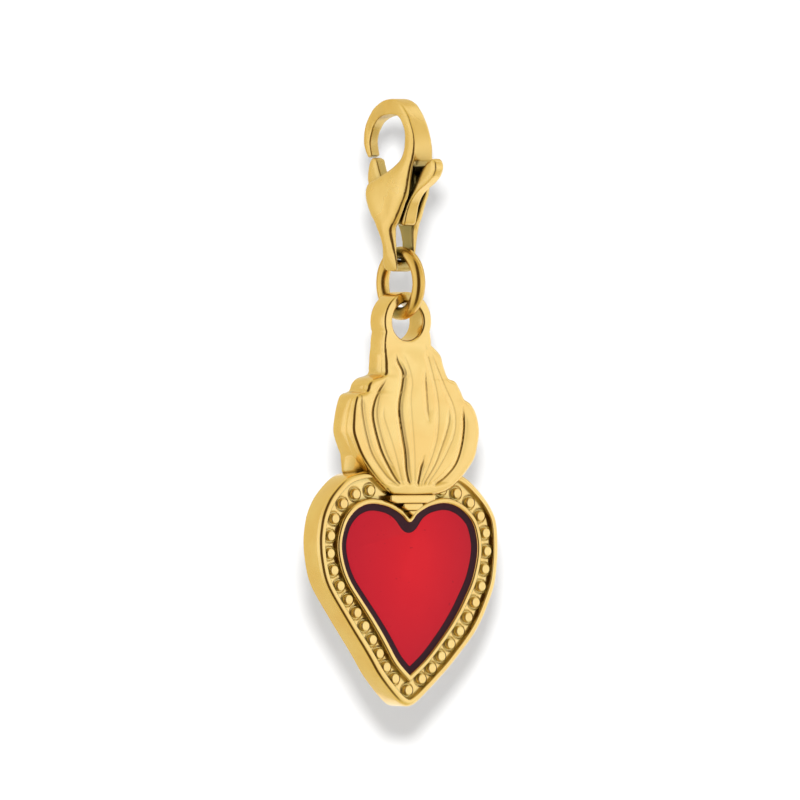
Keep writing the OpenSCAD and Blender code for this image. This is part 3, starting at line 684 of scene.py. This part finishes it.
# Back plate with the bail: heart, shoulder, flame and bail bodies of one casting
plate = {"backRound": 0.07, "padHeight": 0.1, "padGrow": 1.2, "padRound": 0.05,
         "bailRadius": 2.05, "bailHole": 1.3, "bailLift": 15.2, "bailDepth": 1.8,
         "bailRound": 0.22, "neck": [(1.99, 14.2), (2.04, 13.8), (2.05, 13.2), (2.05, 12.6)],
         "bodyRound": 0.05, "bodyShort": 0.012,  # the flame's body stops short of the back
         "shoulder": [(0.72, 0.08), (0.8, 0.12), (0.845, 0.16), (0.85, 0.2), (0.86, 0.26),
                      (0.88, 0.31)],
         # the shoulder's section: share of its width, then depth behind the plate's front
         "section": [(0, 0), (0.5, 0.3), (0.9, 0.7), (1, 1.0)],
         "shoulderShort": 0.03, "shoulderEdge": (0.985, 0.06), "shoulderRoot": 1.0}


def makePlate():
    shape = Shape()
    depth = backY - plateY
    r = plate["backRound"]
    profile = [(0, 0)] + [(-r + r * math.cos(a), -depth + r - r * math.sin(a))
                          for a in np.linspace(0, math.pi / 2, 5)]
    sweep(shape, outerHeart, profile, closed=False)
    # the flat pad behind the heart
    pr = plate["padRound"]
    grow, padTop = plate["padGrow"], -depth - plate["padHeight"]
    sweep(shape, innerHeart, [(grow, -depth + 0.1), (grow, padTop + pr), (grow - pr, padTop)],
          closed=False)
    # the flame's own body, down to the back
    left, right = flameSides()
    slab(shape, [np.vstack([right, left[::-1]])], plateY - 0.001, backY - plate["bodyShort"],
         plate["bodyRound"], 2)
    # the shoulders run from the flame's front edge out to their full width at the back
    levels = np.linspace(plate["shoulder"][0][1], plate["shoulder"][-1][1], 24)
    zs = flame["lift"] + levels * flame["height"]
    outer = np.interp(levels, [z for x, z in plate["shoulder"]],
                      [x * flame["width"] / 2 for x, z in plate["shoulder"]])
    for side, edge in ((-1, left), (1, right)):
        inner = np.abs(np.interp(zs, edge[:, 1], edge[:, 0])) - 0.03
        wide = np.maximum(outer, inner - 0.02)
        last = backY - plate["shoulderShort"]
        section = [(share, plateY + depth) for share, depth in plate["section"]]
        section += [(1, last - plate["shoulderEdge"][1]), (plate["shoulderEdge"][0], last)]
        ring = [[(side * (i + (w - i) * share), depth, widestZ + z)
                 for i, w, z in zip(inner, wide, zs)] for share, depth in section]
        ring += [[(side * plate["shoulderRoot"], depth, widestZ + z) for z in zs]
                 for depth in (last, plateY)]
        count = len(zs)
        faces = strips(len(ring), count, closed=True)
        faces += [tuple(r * count + k for r in range(len(ring))) for k in (0, count - 1)]
        shape.add([point for row in ring for point in row], faces)
    # the bail
    top = arc((0, plate["bailLift"]), plate["bailRadius"], -20, 200, 56)
    neck = smoothLine([top[-1], *[(-x, z) for x, z in plate["neck"]]], 5)[1:]
    outline = top + [tuple(q) for q in neck] + [(-x, z) for x, z in neck[::-1]]
    hole = arc((0, plate["bailLift"]), plate["bailHole"], 0, 360 - 360 / 64, 63)
    slab(shape, [outline, hole], -plate["bailDepth"] / 2, plate["bailDepth"] / 2,
         plate["bailRound"], 6)
    return shape.piece("backPlate", 35)


fit(makePlate(), "pendant", "back_plate", pendantGold)

# Outer rim, with the big rounding of its outer edge
rim = {"width": 0.5, "height": 0.42, "round": 0.34, "innerRound": 0.09}


def makeRim():
    r, q = rim["round"], rim["innerRound"]
    profile = [(0, 0)]
    profile += arc((-r, rim["height"] - r), r, 0, 90, 12)
    profile += arc((-rim["width"] + q, rim["height"] - q), q, 90, 180, 5)
    profile += [(-rim["width"], 0)]
    return sweptPiece("outerRim", outerHeart, profile, 35)


fit(makeRim(), "pendant", "outer_rim", pendantGold)

# Bezel round the enamel, its top drawn round
bezel = {"width": 0.4, "height": 0.5, "blunt": 0.28, "outerRound": 0.19, "innerRound": 0.17}


def makeBezel():
    r, q = bezel["outerRound"], bezel["innerRound"]
    profile = [(bezel["width"], 0)]
    profile += arc((bezel["width"] - r, bezel["height"] - r), r, 0, 90, 6)
    profile += arc((q, bezel["height"] - q), q, 90, 180, 6)
    profile += [(0, 0)]
    return sweptPiece("innerBezel", innerHeart, profile, 35, edgeBlunt=bezel["blunt"])


fit(makeBezel(), "pendant", "inner_bezel", pendantGold)

# Enamel: a dark outline that climbs the bezel a little, and the red field inside it
glaze = {"outline": 0.45, "blunt": 0.8, "darkHeight": 0.28, "climb": 0.05, "dip": 0.02,
         "redHeight": 0.3, "redFall": 0.03}


def makeDark():
    level = glaze["darkHeight"] - glaze["dip"]
    profile = [(-glaze["outline"], 0), (-glaze["outline"], level)]
    for t in np.linspace(1, 0, 8):
        rise = (glaze["climb"] + glaze["dip"]) * (1 - t) ** 3
        profile.append((-glaze["outline"] * t, level + rise))
    profile.append((0, 0))
    return sweptPiece("enamelOutline", innerHeart, profile, 40, blunt=glaze["blunt"],
                      edgeBlunt=bezel["blunt"])


def makeRed():
    side, top = -glaze["outline"], glaze["redHeight"]
    edge = [(side, 0), (side, top - glaze["redFall"]), (side - 0.02, top - 0.012),
            (side - 0.06, top)]
    return sweptPiece("enamelHeart", innerHeart, edge, 40, closed=False, blunt=glaze["blunt"])


fit(makeDark(), "pendant", "enamel_outline", darkEnamel)
fit(makeRed(), "pendant", "enamel_heart", redEnamel)


def newTree(name, inputs):
    tree = bpy.data.node_groups.new(name, "GeometryNodeTree")
    for label, kind in inputs:
        tree.interface.new_socket(name=label, in_out="INPUT", socket_type="NodeSocket" + kind)
    tree.interface.new_socket(name="Geometry", in_out="OUTPUT", socket_type="NodeSocketGeometry")
    return tree, addNode(tree, "NodeGroupInput")


# Makes a tree's result real and gives it the finish that is put in
def finishTree(tree, given, source, output):
    real = addNode(tree, "GeometryNodeRealizeInstances", links={"Geometry": (source, output)})
    painted = addNode(tree, "GeometryNodeSetMaterial",
                      links={"Geometry": (real, "Geometry"), "Material": (given, "Finish")})
    addNode(tree, "NodeGroupOutput", links={"Geometry": (painted, "Geometry")})


# Runs a tree on a mesh and returns the result as a plain mesh in millimetres.
def grown(tree, values, mesh=None):
    holder = linked("grown", mesh or bpy.data.meshes.new("grown"))
    modifier = holder.modifiers.new("tree", "NODES")
    modifier.node_group = tree
    ids = {item.name: item.identifier for item in tree.interface.items_tree
           if getattr(item, "in_out", "") == "INPUT"}
    for label, value in values.items():
        modifier[ids[label]] = value
    made = evaluated(holder)
    holder.modifiers.remove(modifier)
    bpy.data.objects.remove(holder)
    return made


# Bead border: every bead is a squat flat-topped dome in a ring-shaped recess with a low lip
bead = {"sideBeads": 15, "first": 1.39, "crowd": 0.08, "lineGap": 0.94,
        "leftEnd": 0.5, "rightEnd": 0.53, "diameter": 0.75,
        # outline of a bead with its recess: radius and height over the plate
        "profile": [(0, 0.37), (0.25, 0.366), (0.3, 0.356), (0.335, 0.33), (0.355, 0.29),
                    (0.368, 0.22), (0.378, 0.14), (0.395, 0.08), (0.42, 0.06), (0.45, 0.07),
                    (0.48, 0.105), (0.515, 0.125), (0.55, 0.11), (0.58, 0.06)],
        "turns": 28, "strip": 0.08}


def beadMesh():
    turns = bead["turns"]
    points = [(0, -bead["profile"][0][1], 0)]
    for radius, height in bead["profile"][1:]:
        points += [(radius * math.cos(a), -height, radius * math.sin(a))
                   for a in np.arange(turns) * 2 * math.pi / turns]
    faces = [(0, 1 + k, 1 + (k + 1) % turns) for k in range(turns)]
    for r in range(len(bead["profile"]) - 2):
        a, b = 1 + r * turns, 1 + (r + 1) * turns
        faces += [(a + k, b + k, b + (k + 1) % turns, a + (k + 1) % turns) for k in range(turns)]
    return linked("beadUnit", newMesh("beadUnit", points, faces))


def beadTree():
    tree, given = newTree("beadsAlongLine", [
        ("Line", "Geometry"), ("Beads", "Int"), ("First step", "Float"), ("Crowding", "Float"),
        ("Bead", "Object"), ("Finish", "Material")])
    line = addNode(tree, "GeometryNodeMeshToCurve", links={"Mesh": (given, "Line")})
    length = addNode(tree, "GeometryNodeCurveLength", links={"Curve": (line, "Curve")})
    index = addNode(tree, "GeometryNodeInputIndex")
    first = (given, "First step")
    # the beads crowd a little towards the end: share = along * (1 - crowding * (1 - along))
    room = reckon(tree, "SUBTRACT", (length, "Length"), first)
    last = reckon(tree, "SUBTRACT", (given, "Beads"), 1.0)
    along = reckon(tree, "DIVIDE", (index, "Index"), last)
    crowd = reckon(tree, "MULTIPLY", (given, "Crowding"), reckon(tree, "SUBTRACT", 1.0, along))
    share = reckon(tree, "MULTIPLY", along, reckon(tree, "SUBTRACT", 1.0, crowd))
    spot = reckon(tree, "MULTIPLY_ADD", room, share, first)
    sample = addNode(tree, "GeometryNodeSampleCurve", {"mode": "LENGTH"},
                     {"Curves": (line, "Curve"), "Length": spot})
    points = addNode(tree, "GeometryNodePoints", links={"Count": (given, "Beads"),
                                                        "Position": (sample, "Position")})
    unit = addNode(tree, "GeometryNodeObjectInfo", links={"Object": (given, "Bead")})
    placed = addNode(tree, "GeometryNodeInstanceOnPoints",
                     links={"Points": (points, 0), "Instance": (unit, "Geometry")})
    finishTree(tree, given, placed, "Instances")
    return tree


def beadLine(side, endShare):
    curve = halfLine("innerTop", "innerLow", innerWidth, innerRise, innerDrop, 5)
    spots = [(0, -beadDrop)]
    for k in range(len(curve) - 2, 0, -1):
        along = curve[k + 1] - curve[k - 1]
        spot = curve[k] + bead["lineGap"] * np.array([-along[1], along[0]]) / np.linalg.norm(along)
        if spot[0] > (bead["diameter"] if spot[1] < 0 else endShare * innerWidth / 2):
            spots.append((side * spot[0], spot[1]))
    return swayed(spots, beadDrop)


def makeBeads():
    unit, tree = beadMesh(), beadTree()
    shape = Shape()
    for side, endShare in ((1, bead["rightEnd"]), (-1, bead["leftEnd"])):
        line = [(x, plateY, widestZ + z) for x, z in beadLine(side, endShare)]
        mesh = newMesh("line", line, [], [(k, k + 1) for k in range(len(line) - 1)])
        made = grown(tree, {"Beads": bead["sideBeads"], "First step": bead["first"],
                            "Crowding": bead["crowd"], "Bead": unit, "Finish": beadGold}, mesh)
        shape.add([v.co for v in made.vertices], [tuple(p.vertices) for p in made.polygons])
    x, z = swayed([(0, -beadDrop)], beadDrop)[0]  # the bead at the point
    shape.add([(v.co.x + x, v.co.y + plateY, v.co.z + widestZ + z) for v in unit.data.vertices],
              [tuple(p.vertices) for p in unit.data.polygons])
    bpy.data.objects.remove(unit)
    # the floor of the channel, under the rim and the bezel too
    sweep(shape, outerHeart, [(-0.3, 0), (-0.3, bead["strip"])], closed=False)
    return shape.piece("beadBorder", 35)


fit(makeBeads(), "pendant", "bead_border", beadGold)

# The stepped collar keeps the CAD's shape, worn round
collar = {"voxel": 0.045, "rounds": 12, "wear": 0.5}
for node, name in (("flame_collar", "flameCollar"), ("collar_foot", "collarFoot"),
                   ("collar_drop", "collarDrop")):
    fit(worn(node, name, collar), "pendant", node, pendantGold)

# Clasp and lever: castings from the CAD's shape, domed, with worn edges. The rivet's ends are
# ground flush, so the clasp closes over them.
clasp = {"voxel": 0.07, "rounds": 75, "wear": 0.06, "outerWear": 0.55,
         "dome": 0.12, "domeFrom": 0.72, "domeBand": 0.45, "domeReach": 1.2,
         "lean": (0.03, 2.4, -11.5, -3.5),
         "spots": [(0, 2.95, -2.7, 1.4, 0.03)],  # the hook's tip
         "stretch": [(0, 2.95, -2.7, 0.9, -0.05)]}
lever = {"voxel": 0.05, "rounds": 24, "wear": 0.3,
         "dome": 0.08, "domeFrom": 0.2, "domeBand": 0.25, "domeReach": 0.4,
         "spots": [(0, 3.0, -2.8, 0.95, 0.04), (0, -4.3, -3.6, 0.6, 0.8)],  # gate's end and nub
         "stretch": [(0, 3.0, -2.8, 0.8, 0.07)]}
# the rivet stays inside the cheeks, whose holes the plugs close
rivet = {"voxel": 0.045, "rounds": 4, "wear": 0.5, "plugRadius": 0.39, "plugDepth": 0.3,
         "squeeze": 0.76}


def rivetPlugs():
    low, high = box("trigger_rivet")
    middle = (low + high) / 2
    reach = high[0] - 0.02 - rivet["plugDepth"] / 2
    return [((side * reach, middle[1], middle[2]), rivet["plugRadius"], rivet["plugDepth"])
            for side in (-1, 1)]


fit(worn("clasp_body", "claspBody", clasp, rivetPlugs()), "clasp", "clasp_body",
    claspGold)
fit(worn("trigger_lever", "triggerLever", lever), "trigger", "trigger_lever",
    claspGold)
shortRivet = worn("trigger_rivet", "triggerRivet", rivet)
shortRivet.data.transform(Matrix.Scale(rivet["squeeze"], 4, (1, 0, 0)))
fit(shortRivet, "clasp", "trigger_rivet", claspGold)

# Jump ring: round wire bent to a circle that stands in the plane of Y and Z
ring = {"wire": 0.9, "turnSteps": 120, "wireSteps": 28}


def makeRing():
    low, high = box("jump_ring")
    tree, given = newTree("wireRing", [("Ring radius", "Float"), ("Wire radius", "Float"),
                                       ("Turn steps", "Int"), ("Wire steps", "Int"),
                                       ("Finish", "Material")])
    circle = addNode(tree, "GeometryNodeCurvePrimitiveCircle",
                     links={"Resolution": (given, "Turn steps"), "Radius": (given, "Ring radius")})
    section = addNode(tree, "GeometryNodeCurvePrimitiveCircle",
                      links={"Resolution": (given, "Wire steps"), "Radius": (given, "Wire radius")})
    swept = addNode(tree, "GeometryNodeCurveToMesh",
                    links={"Curve": (circle, "Curve"), "Profile Curve": (section, "Curve")})
    finishTree(tree, given, swept, "Mesh")
    made = grown(tree, {"Ring radius": (high[2] - low[2] - ring["wire"]) / 2,
                        "Wire radius": ring["wire"] / 2, "Turn steps": ring["turnSteps"],
                        "Wire steps": ring["wireSteps"], "Finish": ringGold})
    middle = (low + high) / 2
    made.transform(Matrix.Translation(Vector(middle)) @ Matrix.Rotation(math.radians(90), 4, "Y"))
    return asPiece("jumpRing", made, 60)


fit(makeRing(), "ring", "jump_ring", ringGold)

# Spring: a coil of fine wire in the room of its CAD tube
coil = {"wire": 0.11, "turns": 6, "sideRoom": 0.01, "endRoom": 0.015}


def makeSpring():
    low, high = box("trigger_spring")
    span = high - low
    outer = min(span[0], span[2]) / 2
    tree, given = newTree("coil", [("Turns", "Float"), ("Coil radius", "Float"),
                                   ("Coil length", "Float"), ("Wire radius", "Float"),
                                   ("Finish", "Material")])
    spiral = addNode(tree, "GeometryNodeCurveSpiral", {"Resolution": 32},
                     {"Rotations": (given, "Turns"), "Start Radius": (given, "Coil radius"),
                      "End Radius": (given, "Coil radius"), "Height": (given, "Coil length")})
    section = addNode(tree, "GeometryNodeCurvePrimitiveCircle", {"Resolution": 8},
                      {"Radius": (given, "Wire radius")})
    swept = addNode(tree, "GeometryNodeCurveToMesh", {"Fill Caps": True},
                    {"Curve": (spiral, "Curve"), "Profile Curve": (section, "Curve")})
    finishTree(tree, given, swept, "Mesh")
    made = grown(tree, {"Turns": float(coil["turns"]),
                        "Coil radius": outer - coil["wire"] / 2 - coil["sideRoom"],
                        "Coil length": span[1] - coil["wire"] - 2 * coil["endRoom"],
                        "Wire radius": coil["wire"] / 2, "Finish": springSteel})
    # the spiral rises along Z from the origin; it is laid along Y in the middle of the tube
    start = Vector(((low[0] + high[0]) / 2, low[1] + coil["wire"] / 2 + coil["endRoom"],
                    (low[2] + high[2]) / 2))
    made.transform(Matrix.Translation(start) @ Matrix.Rotation(math.radians(-90), 4, "X"))
    return asPiece("triggerSpring", made, 60)


fit(makeSpring(), "clasp", "trigger_spring", springSteel)
print("pieces: done")

# Camera at the photograph's angle, nearly level with the charm and far away
view = {"azimuth": -36.5, "elevation": 0.3, "distance": 1500, "field": 55.2,
        "middle": -19.67, "aside": -0.05}


def direction(azimuth, elevation):
    a, e = math.radians(azimuth), math.radians(elevation)
    return Vector((math.sin(a) * math.cos(e), -math.cos(a) * math.cos(e), math.sin(e)))


def turned(toward):
    return Vector(toward).to_track_quat("Z", "Y").to_euler()


lensData = bpy.data.cameras.new("camera")
camera = linked("camera", lensData)
scene.camera = camera
back = direction(view["azimuth"], view["elevation"])
sideways = direction(view["azimuth"] + 90, 0)
target = Vector((0, 0, view["middle"])) + sideways * view["aside"]
camera.location = (target + back * view["distance"]) * mm
camera.rotation_euler = turned(back)
lensData.sensor_width = 36
lensData.lens = 36 * view["distance"] / view["field"]
lensData.clip_start, lensData.clip_end = 0.01, 20

# Stage: a white wall behind the charm and a white floor below it, both open from behind
stage = {"wallBehind": 34, "wallSize": 460, "floorZ": -62, "floorSize": 600,
         "wallWhite": "#F7F7F7",
         # dark flag: a gore of a sphere round the charm, before the camera, soft at its sides
         "flagAway": 560, "flagCore": 20, "flagSoft": 40, "flagHigh": 76, "flagTone": "#54401A",
         # cards: what the side walls see beside the charm, in front of the wall; each has
         # its two sides and its two levels
         "cardBehind": 32, "cardTone": "#E3DAB6",
         "cards": [(-18, -150, -180, -12.5), (40, -150, -12.5, 120)],
         "ambient": 0.6, "lampFar": 872, "lampHigh": 37.3, "lampSize": 33, "lampWatts": 3.97,
         # the tent's warmer, dimmer top and bottom, and the heights where the tone changes
         "skyEnds": "#DDD3A8", "tentBand": (0.12, 0.8)}


def stagePlane(name, centre, toward, size, material, hiddenFrom=()):
    h = size / 2
    mesh = newMesh(name, [(-h, -h, 0), (h, -h, 0), (h, h, 0), (-h, h, 0)], [(0, 1, 2, 3)])
    mesh.transform(Matrix.Scale(mm, 4))
    mesh.materials.append(material)
    plane = linked(name, mesh)
    plane.rotation_euler = turned(toward)
    plane.location = Vector(centre) * mm
    for kind in hiddenFrom:
        setattr(plane, "visible_" + kind, False)


def openFromBehind(name, colour):
    material, tree = newMaterial(name)
    face = addNode(tree, "ShaderNodeNewGeometry")
    front = addNode(tree, "ShaderNodeBsdfDiffuse", {"Color": linear(colour)})
    rear = addNode(tree, "ShaderNodeBsdfTransparent")
    both = addNode(tree, "ShaderNodeMixShader", links={0: (face, "Backfacing"), 1: (front, "BSDF"),
                                                       2: (rear, "BSDF")})
    return surfaced(material, both, "Shader")


paper = openFromBehind("whitePaper", stage["wallWhite"])
flatBack = direction(view["azimuth"], 0)
stagePlane("wall", Vector((0, 0, view["middle"])) - flatBack * stage["wallBehind"], flatBack,
           stage["wallSize"], paper)
stagePlane("floor", (0, 0, stage["floorZ"]), (0, 0, 1), stage["floorSize"], paper, ("glossy",))


# Cards that only the metal sees: the camera doesn't, and they throw no shadow
def mirrorOnly(name, mesh, material):
    mesh.transform(Matrix.Scale(mm, 4))
    mesh.materials.append(material)
    held = linked(name, mesh)
    held.visible_camera = held.visible_diffuse = held.visible_shadow = False
    held.visible_transmission = False


def glow(name, colour, attribute=None):
    material, tree = newMaterial(name)
    paint = addNode(tree, "ShaderNodeEmission", {"Color": linear(colour), "Strength": 1.0})
    last = paint
    if attribute:
        tone = addNode(tree, "ShaderNodeAttribute", {"attribute_name": attribute})
        clear = addNode(tree, "ShaderNodeBsdfTransparent")
        last = addNode(tree, "ShaderNodeMixShader", links={0: (tone, "Fac"), 1: (clear, "BSDF"),
                                                           2: (paint, "Emission")})
    return surfaced(material, last, 0)


# the dark flag draws the fine dark lines along the rounded edges that face the camera
def makeFlag(columns=40, rows=60, endFade=15):
    wide, high = stage["flagSoft"], stage["flagHigh"]
    sides, rises = np.linspace(-wide, wide, columns + 1), np.linspace(-high, high, rows + 1)
    points, tones = [], []
    for rise in rises:
        for side in sides:
            points.append(target + direction(view["azimuth"] + side, rise) * stage["flagAway"])
            inner = np.clip((wide - abs(side)) / (wide - stage["flagCore"]), 0, 1)
            ends = np.clip((high - abs(rise)) / endFade, 0, 1)
            tones.append((3 - 2 * inner) * inner ** 2 * ends)
    mesh = newMesh("darkFlag", points, strips(rows + 1, columns + 1))
    mesh.attributes.new("tone", "FLOAT", "POINT").data.foreach_set("value", tones)
    mirrorOnly("darkFlag", mesh, glow("flagCloth", stage["flagTone"], "tone"))


def makeCards():
    points, faces = [], []
    for near, far, low, high in stage["cards"]:
        faces.append(tuple(range(len(points), len(points) + 4)))
        for across, level in ((near, low), (far, low), (far, high), (near, high)):
            spot = target + sideways * across - flatBack * stage["cardBehind"]
            points.append((spot.x, spot.y, level))
    mirrorOnly("greyCards", newMesh("greyCards", points, faces),
               glow("cardPaper", stage["cardTone"]))


makeFlag()
makeCards()

# one lamp, a little above the camera's line, throws the soft shadow on the wall
lampData = bpy.data.lights.new("lamp", "AREA")
lampData.shape, lampData.size = "DISK", stage["lampSize"] * mm
lampData.energy = stage["lampWatts"]
lamp = linked("lamp", lampData)
lamp.location = (flatBack * stage["lampFar"] + Vector((0, 0, stage["lampHigh"]))) * mm
lamp.rotation_euler = turned(lamp.location - target * mm)
lamp.visible_glossy = lamp.visible_camera = False

# the world: bright white to the camera, dimmer where it lights the wall, and a paper tent of a
# warmer tone at its top and bottom in the metal
world = bpy.data.worlds.new("studio")
scene.world = world
world.use_nodes = True
sky = world.node_tree
sky.nodes.clear()
rays = addNode(sky, "ShaderNodeLightPath")
seen = reckon(sky, "MAXIMUM", (rays, "Is Camera Ray"), (rays, "Is Glossy Ray"))
seenToo = reckon(sky, "MAXIMUM", seen, (rays, "Is Transmission Ray"))
soft = addNode(sky, "ShaderNodeBackground", {"Color": (1, 1, 1, 1), "Strength": stage["ambient"]})
white = addNode(sky, "ShaderNodeBackground", {"Color": (1, 1, 1, 1), "Strength": 1.0})
way = addNode(sky, "ShaderNodeTexCoord")
height = addNode(sky, "ShaderNodeSeparateXYZ", links={"Vector": (way, "Object")})
level = reckon(sky, "ABSOLUTE", (height, "Z"))
rise = remap(sky, level, stage["tentBand"])
cloth = blend(sky, (rise, "Result"), "#FFFFFF", stage["skyEnds"])
tent = addNode(sky, "ShaderNodeBackground", {"Strength": 1.0}, {"Color": (cloth, 2)})
either = addNode(sky, "ShaderNodeMixShader", links={0: seenToo, 1: (soft, "Background"),
                                                    2: (white, "Background")})
metal = addNode(sky, "ShaderNodeMixShader", links={0: (rays, "Is Glossy Ray"),
                                                   1: (either, "Shader"),
                                                   2: (tent, "Background")})
addNode(sky, "ShaderNodeOutputWorld", links={"Surface": (metal, "Shader")})
scene.view_settings.view_transform = "Standard"
print("stage: done")
